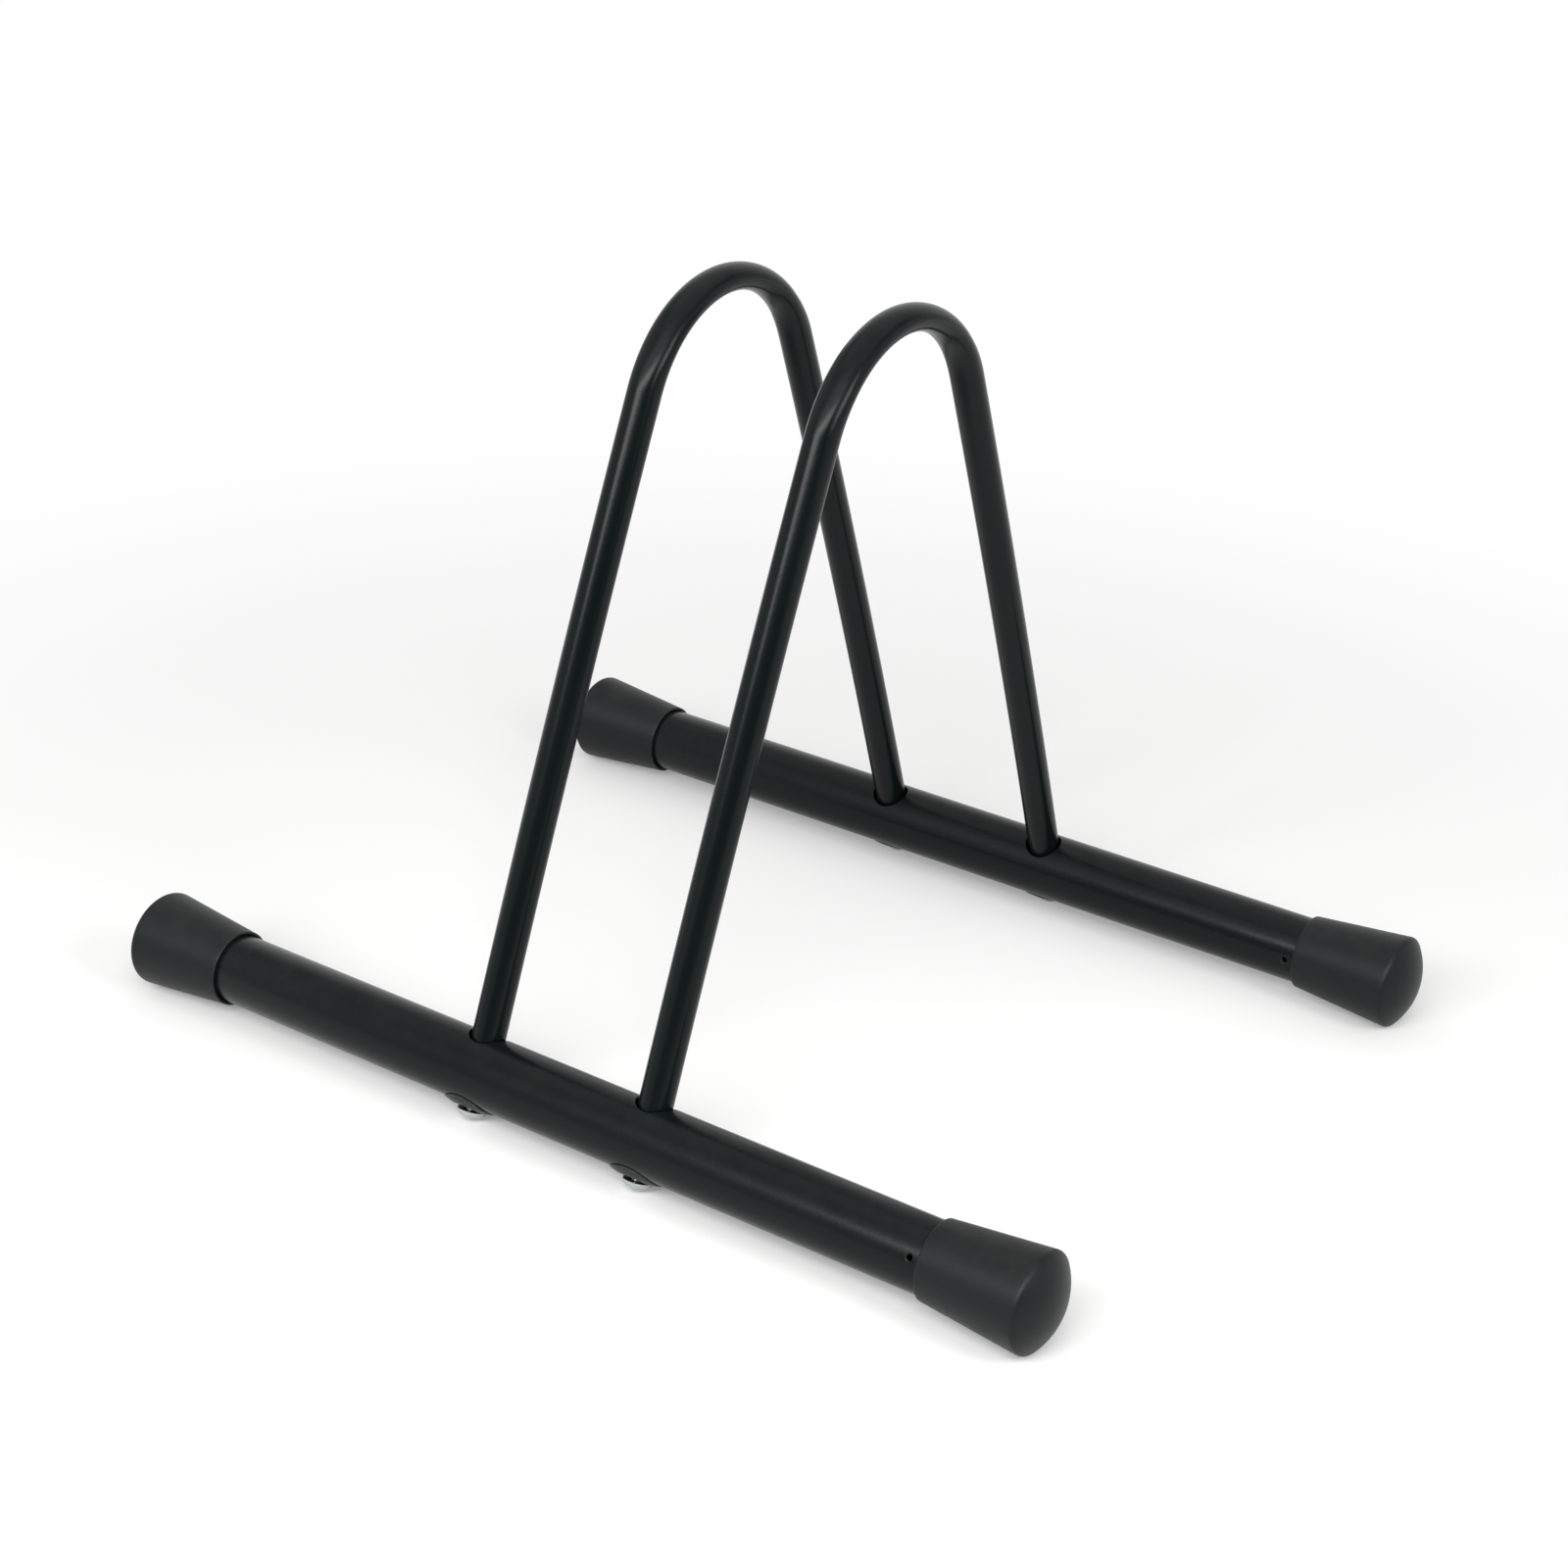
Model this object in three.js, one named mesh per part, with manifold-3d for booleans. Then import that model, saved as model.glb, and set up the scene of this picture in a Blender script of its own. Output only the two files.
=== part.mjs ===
// A floor rack that parks one bicycle. The wheel is pushed between two bent-tube hoops and sits
// down between two base tubes, which lie on the floor on four flared rubber ferrules.
//
// Each hoop stands with its feet let into holes in the base tubes. A screw comes up through the
// base tube from below, in line with the leg, and bites in a threaded plug in the leg's end.
//
// Millimetres. X runs along the base tubes, left to right; Y runs from the front tube to the rear
// tube; Z is up. The origin is on the floor, in the middle of the rack.

import * as THREE from 'three';
import { mergeVertices } from 'three/addons/utils/BufferGeometryUtils.js';
import Module from 'manifold-3d';

const wasm = await Module();
wasm.setup();

// ---------------------------------------------------------------- driving dimensions

// Base tubes
const BASE_TUBE_DIAMETER = 25.4;
const BASE_TUBE_WALL = 1.2;
const BASE_TUBE_LENGTH = 374;
const BASE_TUBE_SPACING = 260.5; // front axis to rear axis

// Hoops
const HOOP_TUBE_DIAMETER = 12;
const HOOP_TUBE_WALL = 1;
const HOOP_SPACING = 72.2; // left hoop to right hoop, centre to centre
const HOOP_RISE = 252.7; // base tube axis to the centre of the hoop tube at the crown
const BEND_RADIUS = 47.7; // to the centre of the tube
const LEG_BOW_RADIUS = 5670; // the legs are very slightly bowed outwards
const CROWN_DEPTH = 9.6; // the bender presses the tube flatter through the bend ...
const CROWN_WIDTH = 13; // ... and it spreads sideways
const FLATTENING_RUN_IN = 21.5; // degrees of bend over which the round tube becomes flat

// Ferrules
const FERRULE_LENGTH = 44.5;
const FERRULE_MOUTH_WALL = 1;
const FERRULE_BASE_WALL = 4.5; // at the widest ring
const FERRULE_CORNER_RADIUS = 2;
const FERRULE_END_LENGTH = 7.4; // widest ring to the top of the domed end
const FERRULE_FLOOR_THICKNESS = 7.7; // rubber between the tube's end and the top of the dome
const CONTACT_FLAT_DEPTH = 0.3; // the rubber is flat where it bears on the floor

// Screws, washers and inserts
const SCREW_DIAMETER = 6;
const SCREW_LENGTH = 16; // under the head
const SCREW_POINT_CHAMFER = 0.8;
const SCREW_HEAD_DIAMETER = 10.5;
const SCREW_HEAD_HEIGHT = 2.5;
const SCREW_HEAD_EDGE = 0.4; // straight rim under the dome
const SCREW_HEAD_TOP_DIAMETER = 5.6;
const SOCKET_ACROSS_FLATS = 4;
const SOCKET_DEPTH = 1.7;
const WASHER_DIAMETER = 21;
const WASHER_CROWN_DIAMETER = 14;
const WASHER_THICKNESS = 1;
const WASHER_EDGE_THICKNESS = 0.3;
const INSERT_LENGTH = 14;
const INSERT_CHAMFER = 0.6;

// Small holes near the right-hand end of each base tube, facing the front
const VENT_DIAMETER = 2.5;
const VENT_SETBACK = 3.5; // from the ferrule's mouth
const VENT_TURN = { front: 64, rear: 88 }; // degrees from straight up, towards the front

// Clearances
const SEAT_GAP = 0.3; // between two pieces that touch
const LEG_HOLE_CLEARANCE = 1; // all round the leg
const SCREW_HOLE_CLEARANCE = 0.3; // all round the screw

// How finely round shapes are faceted
const BASE_TUBE_SIDES = 40;
const HOOP_SIDES = 16;
const FERRULE_SIDES = 36;
const FASTENER_SIDES = 20;
const LEG_STEPS = 4;
const HALF_BEND_STEPS = 11;

// ---------------------------------------------------------------- sizes that follow

const baseTubeRadius = BASE_TUBE_DIAMETER / 2;
const baseTubeBoreRadius = baseTubeRadius - BASE_TUBE_WALL;
const hoopTubeRadius = HOOP_TUBE_DIAMETER / 2;
const hoopBoreRadius = hoopTubeRadius - HOOP_TUBE_WALL;

const ferruleBoreRadius = baseTubeRadius + SEAT_GAP;
const ferruleMouthRadius = ferruleBoreRadius + FERRULE_MOUTH_WALL;
const ferruleBaseRadius = ferruleBoreRadius + FERRULE_BASE_WALL;
const ferruleBoreDepth = FERRULE_LENGTH - FERRULE_FLOOR_THICKNESS;
const ferruleMouthX = BASE_TUBE_LENGTH / 2 + SEAT_GAP - ferruleBoreDepth;
const axisHeight = ferruleBaseRadius - CONTACT_FLAT_DEPTH;

const screwHoleRadius = SCREW_DIAMETER / 2 + SCREW_HOLE_CLEARANCE;
const washerBoreRadius = baseTubeRadius + SEAT_GAP; // the radius it is curved to

// Drops are measured from the base tube's axis, downwards along the leg.
const legEndDrop = Math.sqrt((baseTubeBoreRadius - SEAT_GAP) ** 2 - hoopTubeRadius ** 2);
const screwHeadDrop = washerBoreRadius + WASHER_THICKNESS + SEAT_GAP;

// The hoop's centreline is seen from the side, with y from the rack's middle and z from the
// base tubes' axes. Its crown is one arc, and each leg is a very large arc tangent to it. A leg's
// tilt is its angle from the vertical, which is also the angle of its outward normal from -Y.
const bendCentreZ = HOOP_RISE - BEND_RADIUS;
const halfSpacing = BASE_TUBE_SPACING / 2;
const radiusStep = LEG_BOW_RADIUS - BEND_RADIUS;
const reach = (LEG_BOW_RADIUS ** 2 - halfSpacing ** 2 - radiusStep ** 2 - bendCentreZ ** 2)
  / (2 * radiusStep * Math.hypot(halfSpacing, bendCentreZ));
const topTilt = Math.acos(reach) - Math.atan2(bendCentreZ, halfSpacing);
const legCentreY = radiusStep * Math.cos(topTilt);
const legCentreZ = bendCentreZ - radiusStep * Math.sin(topTilt);
const footTilt = Math.atan2(-legCentreZ, halfSpacing + legCentreY);

// ---------------------------------------------------------------- materials

const powderCoat = { color: 0x24282a, roughness: 0.38, metalness: 0 };
const rubber = { color: 0x303434, roughness: 0.85, metalness: 0 };
const zincPlate = { color: 0xb9c0be, roughness: 0.3, metalness: 1 };
const blackZinc = { color: 0x1c1e20, roughness: 0.45, metalness: 0.4 };

// ---------------------------------------------------------------- geometry helpers

// Welds a geometry's seams and poles, drops the slivers left there, and points its faces out.
function closeUp(geometry) {
  const source = geometry.index ? geometry.toNonIndexed() : geometry.clone();
  source.deleteAttribute('normal');
  source.deleteAttribute('uv');
  const welded = mergeVertices(source, 1e-4);
  const position = welded.attributes.position;
  const corners = welded.index.array;
  const faces = [];
  let volume = 0;
  const [p, q, r] = [new THREE.Vector3(), new THREE.Vector3(), new THREE.Vector3()];
  for (let i = 0; i < corners.length; i += 3) {
    const [a, b, c] = corners.slice(i, i + 3);
    if (a === b || b === c || c === a) continue;
    faces.push([a, b, c]);
    p.fromBufferAttribute(position, a);
    q.fromBufferAttribute(position, b);
    r.fromBufferAttribute(position, c);
    volume += p.dot(q.cross(r));
  }
  const outward = volume > 0 ? faces : faces.map(([a, b, c]) => [a, c, b]);
  const closed = new THREE.BufferGeometry();
  closed.setAttribute('position', position);
  closed.setIndex(outward.flat());
  return closed;
}

function toManifold(geometry) {
  const closed = closeUp(geometry);
  return new wasm.Manifold(new wasm.Mesh({
    numProp: 3,
    vertProperties: new Float32Array(closed.attributes.position.array),
    triVerts: new Uint32Array(closed.index.array),
  }));
}

// Cuts each tool away from the body.
function cutAway(body, tools) {
  let solid = toManifold(body);
  for (const tool of tools) {
    solid = solid.subtract(toManifold(tool));
  }
  const mesh = solid.getMesh();
  const geometry = new THREE.BufferGeometry();
  geometry.setAttribute('position', new THREE.BufferAttribute(mesh.vertProperties, 3));
  geometry.setIndex(new THREE.BufferAttribute(mesh.triVerts, 1));
  return geometry;
}

// A straight drill of the given radius, from the X axis outwards. Its turn is measured about X
// from straight up towards the front.
function radialDrill(radius, x, turn) {
  const drill = new THREE.CylinderGeometry(radius, radius, BASE_TUBE_DIAMETER, FASTENER_SIDES);
  drill.translate(0, BASE_TUBE_DIAMETER / 2, 0);
  drill.rotateX(Math.PI / 2 + turn);
  drill.translate(x, 0, 0);
  return drill;
}

function revolve(points, sides) {
  return new THREE.LatheGeometry(points.map(([r, h]) => new THREE.Vector2(r, h)), sides);
}

// ---------------------------------------------------------------- base tubes

// A straight tube along X. Each leg's hole and its screw's hole are drilled on one line, tilted
// with the leg. A leg leans towards the rack's middle, so the tube at the front is drilled from
// above and behind, and the one at the rear from above and in front.
function makeBaseTube(end) {
  const tube = revolve([
    [baseTubeBoreRadius, -BASE_TUBE_LENGTH / 2],
    [baseTubeRadius, -BASE_TUBE_LENGTH / 2],
    [baseTubeRadius, BASE_TUBE_LENGTH / 2],
    [baseTubeBoreRadius, BASE_TUBE_LENGTH / 2],
    [baseTubeBoreRadius, -BASE_TUBE_LENGTH / 2],
  ], BASE_TUBE_SIDES);
  tube.rotateZ(-Math.PI / 2);

  const legTurn = end.sideY * footTilt;
  const drills = [];
  for (const hoop of HOOPS) {
    drills.push(radialDrill(hoopTubeRadius + LEG_HOLE_CLEARANCE, hoop.x, legTurn));
    drills.push(radialDrill(screwHoleRadius, hoop.x, legTurn + Math.PI));
  }
  const ventTurn = THREE.MathUtils.degToRad(VENT_TURN[end.name]);
  drills.push(radialDrill(VENT_DIAMETER / 2, ferruleMouthX - VENT_SETBACK, ventTurn));
  return cutAway(tube, drills);
}

// ---------------------------------------------------------------- hoops

// The centreline runs from the front leg's end over the crown to the rear leg's end. Equal steps
// of its parameter are short in the bend and long in the legs, where there is little to follow.
class HoopCentreline extends THREE.Curve {
  getPoint(t, target = new THREE.Vector3()) {
    const halfSteps = 1 + LEG_STEPS + HALF_BEND_STEPS;
    const step = halfSteps * (1 - Math.abs(1 - 2 * t));
    const side = t < 0.5 ? -1 : 1;
    if (step < 1) {
      const drop = legEndDrop * (1 - step);
      const y = halfSpacing + drop * Math.sin(footTilt);
      return target.set(0, side * y, -drop * Math.cos(footTilt));
    }
    if (step < 1 + LEG_STEPS) {
      const tilt = THREE.MathUtils.lerp(footTilt, topTilt, (step - 1) / LEG_STEPS);
      const y = LEG_BOW_RADIUS * Math.cos(tilt) - legCentreY;
      return target.set(0, side * y, legCentreZ + LEG_BOW_RADIUS * Math.sin(tilt));
    }
    const share = (step - 1 - LEG_STEPS) / HALF_BEND_STEPS;
    const tilt = THREE.MathUtils.lerp(topTilt, Math.PI / 2, share);
    const y = BEND_RADIUS * Math.cos(tilt);
    return target.set(0, side * y, bendCentreZ + BEND_RADIUS * Math.sin(tilt));
  }

  getUtoTmapping(u) {
    return u;
  }
}

// Presses the round tube flatter through the bend. The effect grows smoothly from nothing where
// the bend starts, and is measured about the bend's own centre.
function pressBend(geometry) {
  const position = geometry.attributes.position;
  const runIn = THREE.MathUtils.degToRad(FLATTENING_RUN_IN);
  const point = new THREE.Vector3();
  for (let i = 0; i < position.count; i += 1) {
    point.fromBufferAttribute(position, i);
    const rise = point.z - bendCentreZ;
    const angle = Math.atan2(rise, Math.abs(point.y));
    const press = THREE.MathUtils.smoothstep(angle, topTilt, topTilt + runIn);
    const depthScale = THREE.MathUtils.lerp(1, CROWN_DEPTH / HOOP_TUBE_DIAMETER, press);
    const widthScale = THREE.MathUtils.lerp(1, CROWN_WIDTH / HOOP_TUBE_DIAMETER, press);
    const distance = Math.hypot(point.y, rise);
    const scale = (BEND_RADIUS + (distance - BEND_RADIUS) * depthScale) / distance;
    position.setXYZ(i, point.x * widthScale, point.y * scale, bendCentreZ + rise * scale);
  }
}

function makeHoop() {
  const section = new THREE.Shape().absarc(0, 0, hoopTubeRadius, 0, 2 * Math.PI, false);
  section.holes.push(new THREE.Path().absarc(0, 0, hoopBoreRadius, 0, 2 * Math.PI, true));
  const hoop = new THREE.ExtrudeGeometry(section, {
    curveSegments: HOOP_SIDES / 2,
    steps: 2 * (1 + LEG_STEPS + HALF_BEND_STEPS),
    extrudePath: new HoopCentreline(),
    bevelEnabled: false,
  });
  pressBend(hoop);
  return closeUp(hoop);
}

// ---------------------------------------------------------------- ferrules

// A rubber cup with its mouth at the foot of the profile. The wall flares from the mouth to the
// widest ring, turns a small corner and closes in a shallow dome. The cone, corner and dome are
// tangent to each other.
function ferruleProfile() {
  const cornerR = ferruleBaseRadius - FERRULE_CORNER_RADIUS;
  const cornerH = FERRULE_LENGTH - FERRULE_END_LENGTH;
  const toCorner = Math.hypot(cornerR - ferruleMouthRadius, cornerH);
  const flare = Math.atan2(cornerR - ferruleMouthRadius, cornerH)
    + Math.asin(FERRULE_CORNER_RADIUS / toCorner);
  const domeRadius = (cornerR ** 2 + FERRULE_END_LENGTH ** 2 - FERRULE_CORNER_RADIUS ** 2)
    / (2 * (FERRULE_END_LENGTH - FERRULE_CORNER_RADIUS));
  const domeCentreH = FERRULE_LENGTH - domeRadius;
  const domeStart = Math.atan2(cornerH - domeCentreH, cornerR);

  const outline = new THREE.Path();
  outline.moveTo(0, ferruleBoreDepth);
  outline.lineTo(ferruleBoreRadius, ferruleBoreDepth);
  outline.lineTo(ferruleBoreRadius, 0);
  outline.lineTo(ferruleMouthRadius, 0);
  outline.absarc(cornerR, cornerH, FERRULE_CORNER_RADIUS, -flare, domeStart, false);
  outline.absarc(0, domeCentreH, domeRadius, domeStart, Math.PI / 2, false);
  return outline.getPoints(2);
}

// The ferrule lies along X with its mouth at the origin and its dome towards +X. It is cut flat
// underneath, where it bears on the floor.
function makeFerrule() {
  const cup = new THREE.LatheGeometry(ferruleProfile(), FERRULE_SIDES);
  cup.rotateZ(-Math.PI / 2);
  const below = new THREE.BoxGeometry(
    2 * FERRULE_LENGTH, 2 * ferruleBaseRadius, 2 * CONTACT_FLAT_DEPTH);
  below.translate(FERRULE_LENGTH / 2, 0, -axisHeight - CONTACT_FLAT_DEPTH);
  return cutAway(cup, [below]);
}

// ---------------------------------------------------------------- screws, washers, inserts

// These three stand in a foot's own frame: its origin is on the base tube's axis, and its +Z runs
// up the leg.

// A button-head screw with a hexagon socket, head downwards.
function makeScrew() {
  const headR = SCREW_HEAD_DIAMETER / 2;
  const topR = SCREW_HEAD_TOP_DIAMETER / 2;
  const shankR = SCREW_DIAMETER / 2;
  const domeH = SCREW_HEAD_HEIGHT - SCREW_HEAD_EDGE;
  const domeRadius = ((headR - topR) ** 2 + domeH ** 2) / (2 * domeH);
  const domeTurn = Math.asin((headR - topR) / domeRadius);
  const outline = new THREE.Path();
  outline.moveTo(0, -SCREW_LENGTH);
  outline.lineTo(shankR - SCREW_POINT_CHAMFER, -SCREW_LENGTH);
  outline.lineTo(shankR, -SCREW_LENGTH + SCREW_POINT_CHAMFER);
  outline.lineTo(shankR, 0);
  outline.lineTo(headR, 0);
  outline.lineTo(headR, SCREW_HEAD_EDGE);
  outline.absarc(topR, SCREW_HEAD_HEIGHT - domeRadius, domeRadius,
    Math.PI / 2 - domeTurn, Math.PI / 2, false);
  outline.lineTo(0, SCREW_HEAD_HEIGHT);
  const blank = new THREE.LatheGeometry(outline.getPoints(2), FASTENER_SIDES);

  const socketR = SOCKET_ACROSS_FLATS / 2 / Math.cos(Math.PI / 6);
  const socket = new THREE.CylinderGeometry(socketR, socketR, 2 * SOCKET_DEPTH, 6);
  socket.translate(0, SCREW_HEAD_HEIGHT, 0);

  const screw = cutAway(blank, [socket]);
  screw.rotateX(-Math.PI / 2);
  screw.translate(0, 0, -screwHeadDrop);
  return screw;
}

// A round washer with a bevelled rim, turned flat and then curved round the base tube.
function makeWasher() {
  const rimR = WASHER_DIAMETER / 2;
  const crownR = WASHER_CROWN_DIAMETER / 2;
  const middleR = (screwHoleRadius + crownR) / 2;
  const flat = revolve([
    [screwHoleRadius, 0],
    [middleR, 0],
    [crownR, 0],
    [(crownR + rimR) / 2, 0],
    [rimR, 0],
    [rimR, WASHER_EDGE_THICKNESS],
    [(crownR + rimR) / 2, (WASHER_EDGE_THICKNESS + WASHER_THICKNESS) / 2],
    [crownR, WASHER_THICKNESS],
    [middleR, WASHER_THICKNESS],
    [screwHoleRadius, WASHER_THICKNESS],
    [screwHoleRadius, 0],
  ], FASTENER_SIDES);

  const position = flat.attributes.position;
  const point = new THREE.Vector3();
  for (let i = 0; i < position.count; i += 1) {
    point.fromBufferAttribute(position, i);
    const wrap = point.z / washerBoreRadius;
    const radius = washerBoreRadius + point.y;
    position.setXYZ(i, point.x, radius * Math.sin(wrap), -radius * Math.cos(wrap));
  }
  return closeUp(flat);
}

// A turned plug with a threaded bore, flush with the end of the leg it is fixed in.
function makeInsert() {
  const outerR = hoopBoreRadius - SEAT_GAP;
  const plug = revolve([
    [screwHoleRadius, 0],
    [outerR - INSERT_CHAMFER, 0],
    [outerR, INSERT_CHAMFER],
    [outerR, INSERT_LENGTH - INSERT_CHAMFER],
    [outerR - INSERT_CHAMFER, INSERT_LENGTH],
    [screwHoleRadius, INSERT_LENGTH],
    [screwHoleRadius, 0],
  ], FASTENER_SIDES);
  plug.rotateX(Math.PI / 2);
  plug.translate(0, 0, -legEndDrop);
  return closeUp(plug);
}

// ---------------------------------------------------------------- assembly

const ENDS = [{ name: 'front', sideY: -1 }, { name: 'rear', sideY: 1 }];
const HOOPS = [
  { name: 'left', sideX: -1, x: -HOOP_SPACING / 2 },
  { name: 'right', sideX: 1, x: HOOP_SPACING / 2 },
];

function makeMesh(name, geometry, finish) {
  const mesh = new THREE.Mesh(geometry, new THREE.MeshStandardMaterial(finish));
  mesh.name = name;
  return mesh;
}

// What stands on one base tube, in a frame whose origin is the middle of that tube's axis.
function makeTubeGroup(end) {
  const group = new THREE.Group();
  group.position.set(0, end.sideY * halfSpacing, axisHeight);
  group.add(makeMesh(`base_tube_${end.name}`, makeBaseTube(end), powderCoat));

  for (const hoop of HOOPS) {
    const place = `${end.name}_${hoop.name}`;

    const ferrule = makeMesh(`ferrule_${place}`, makeFerrule(), rubber);
    ferrule.position.x = hoop.sideX * ferruleMouthX;
    ferrule.rotation.z = hoop.sideX > 0 ? 0 : Math.PI;
    group.add(ferrule);

    const foot = new THREE.Group();
    foot.position.x = hoop.x;
    foot.rotation.x = end.sideY * footTilt;
    foot.add(makeMesh(`threaded_insert_${place}`, makeInsert(), zincPlate));
    foot.add(makeMesh(`arc_washer_${place}`, makeWasher(), blackZinc));
    foot.add(makeMesh(`hoop_screw_${place}`, makeScrew(), zincPlate));
    group.add(foot);
  }
  return group;
}

const rack = new THREE.Group();
for (const end of ENDS) {
  rack.add(makeTubeGroup(end));
}
for (const hoop of HOOPS) {
  const mesh = makeMesh(`hoop_${hoop.name}`, makeHoop(), powderCoat);
  mesh.position.set(hoop.x, 0, axisHeight);
  rack.add(mesh);
}

export default rack;
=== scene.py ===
# A floor rack that parks one bicycle. Two bent-tube hoops hold the wheel upright, and stand with
# their feet let into two base tubes, which lie on the floor on flared rubber ferrules.
#
# Metres. X runs along the base tubes, Y from the front tube to the rear tube, and Z up from the
# floor in the middle of the rack.

from math import acos, asin, atan2, cos, hypot, pi, radians, sin, sqrt

import bmesh
import bpy
from mathutils import Matrix, Quaternion, Vector


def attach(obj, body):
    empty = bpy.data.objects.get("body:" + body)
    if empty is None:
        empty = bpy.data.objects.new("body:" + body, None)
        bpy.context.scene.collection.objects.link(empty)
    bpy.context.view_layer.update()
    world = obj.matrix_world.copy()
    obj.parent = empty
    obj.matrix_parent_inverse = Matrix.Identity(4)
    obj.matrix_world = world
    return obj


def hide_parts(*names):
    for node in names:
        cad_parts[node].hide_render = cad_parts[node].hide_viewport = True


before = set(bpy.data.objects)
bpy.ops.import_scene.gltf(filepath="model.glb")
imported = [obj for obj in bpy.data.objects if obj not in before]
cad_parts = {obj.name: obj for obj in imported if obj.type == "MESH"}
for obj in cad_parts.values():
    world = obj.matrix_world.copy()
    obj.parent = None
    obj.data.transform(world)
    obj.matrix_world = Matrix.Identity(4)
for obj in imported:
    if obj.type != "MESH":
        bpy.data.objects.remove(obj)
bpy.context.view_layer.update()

# ------------------------------------------------------------------------------- base tubes
# Two straight steel tubes, 25.4 mm across with a 1.2 mm wall, powder coated a satin black. Each
# is drilled on a tilted line for each hoop foot, wide above for the leg and narrow below for its
# screw. A small vent near its right-hand end is drilled after coating, so its wall is bare steel.

MM = 0.001
SAME_POINT = 0.001 * MM         # verts closer than this are merged
IN_PLACE = 0.01 * MM            # how far off a vert may be and still count as there
TUBE_RADIUS = 12.7 * MM
TUBE_WALL = 1.2 * MM
TUBE_HALF_LENGTH = 187 * MM
AXIS_HEIGHT = 17.2 * MM
HALF_SPACING = 130.25 * MM      # middle of the rack to a base tube's axis
HOOP_X = 36.1 * MM              # middle of the rack to a hoop
FOOT_TILT = radians(19.91)      # of a leg where it meets its base tube
LEG_HOLE = 7 * MM               # radii of the drillings
SCREW_HOLE = 3.3 * MM
VENT_HOLE = 1.25 * MM
VENT_X = 147 * MM
VENT_TURNS = {"front": radians(64), "rear": radians(88)}    # from straight up to the front
FOOT_REACH = 16 * MM            # of a patch of skin, each way along the tube from its drilling
VENT_REACH = 4 * MM
RING_SIDES = 96
SIDES_ALONG = 36                # of a patch, on each of its two sides along the tube
PATCH_RINGS = 20
RING_SPREAD = 1.15              # above 1, a patch's rings lie closer near its drilling
RIM_STRIP = 0.5 * MM            # first ring of faces round a drilling
RIM_ROUNDING = 0.22 * MM
WORN_FROM = radians(9)          # a corner that turns by this starts to be rubbed
WORN_OVER = radians(12)         # and one that turns by this much more is rubbed in full
SHADED_ROUND = radians(38)      # the most that a smoothly shaded edge turns by
COAT_DARKER = (0.0021, 0.0045, 0.0043)
COAT_PALER = (0.0033, 0.0061, 0.0059)
COAT_RUBBED = (0.030, 0.032, 0.033)
COAT_ROUGHNESS = (0.20, 0.27)
ORANGE_PEEL = 0.035 * MM
BARE_STEEL = (0.55, 0.55, 0.54)
BARE_ROUGHER = 0.15
DUSTY_ROUGHER = 2
DUST_COLOUR = (0.30, 0.29, 0.27)


def turned_up(radius, turn):
    """The point at that radius from a tube's axis, turned from straight up towards the front."""
    return Vector((0, -radius * sin(turn), radius * cos(turn)))


def wrap_patch(bm, radius, x, ring_turn, turn, hole, reach):
    """Half of the tube's skin, drilled near its middle. A flat grid of spokes and rings is
    wrapped so that its first ring is the drilling's rim and its last one is the patch's border."""
    quarter = pi / 2 * radius
    corners = [(reach, 0), (reach, quarter), (-reach, quarter), (-reach, -quarter),
               (reach, -quarter), (reach, 0)]
    counts = [RING_SIDES // 4, SIDES_ALONG, RING_SIDES // 2, SIDES_ALONG, RING_SIDES // 4]
    border = [Vector(a).lerp(Vector(b), k / n)
              for a, b, n in zip(corners, corners[1:], counts) for k in range(n)]
    spokes = len(border)
    grid = bmesh.ops.create_grid(bm, x_segments=spokes, y_segments=PATCH_RINGS, size=0.5)
    for v in grid["verts"]:
        spoke = round((v.co.x + 0.5) * spokes) % spokes
        ring = round((v.co.y + 0.5) * PATCH_RINGS)
        angle = 2 * pi * spoke / spokes
        drilled = turn - ring_turn + asin(hole * sin(angle) / radius)
        flat = Vector((hole * cos(angle), radius * drilled))
        if ring > 0:
            flat += (border[spoke] - flat).normalized() * RIM_STRIP
            flat = flat.lerp(border[spoke], ((ring - 1) / (PATCH_RINGS - 1)) ** RING_SPREAD)
        v.co = turned_up(radius, ring_turn + flat.y / radius) + Vector((x + flat.x, 0, 0))


def wrap_plain_half(bm, radius, x, turn, reach):
    """The undrilled half of the tube's skin that faces the given turn."""
    grid = bmesh.ops.create_grid(
        bm, x_segments=SIDES_ALONG, y_segments=RING_SIDES // 2, size=0.5)
    for v in grid["verts"]:
        v.co = turned_up(radius, turn + pi * v.co.y) + Vector((x + 2 * reach * v.co.x, 0, 0))


def grow_edges(bm, edges, move):
    """Extrudes edges to where move() puts each of their new verts."""
    grown = bmesh.ops.extrude_edge_only(bm, edges=edges)
    for v in grown["geom"]:
        if isinstance(v, bmesh.types.BMVert):
            v.co = move(v.co)


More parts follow.
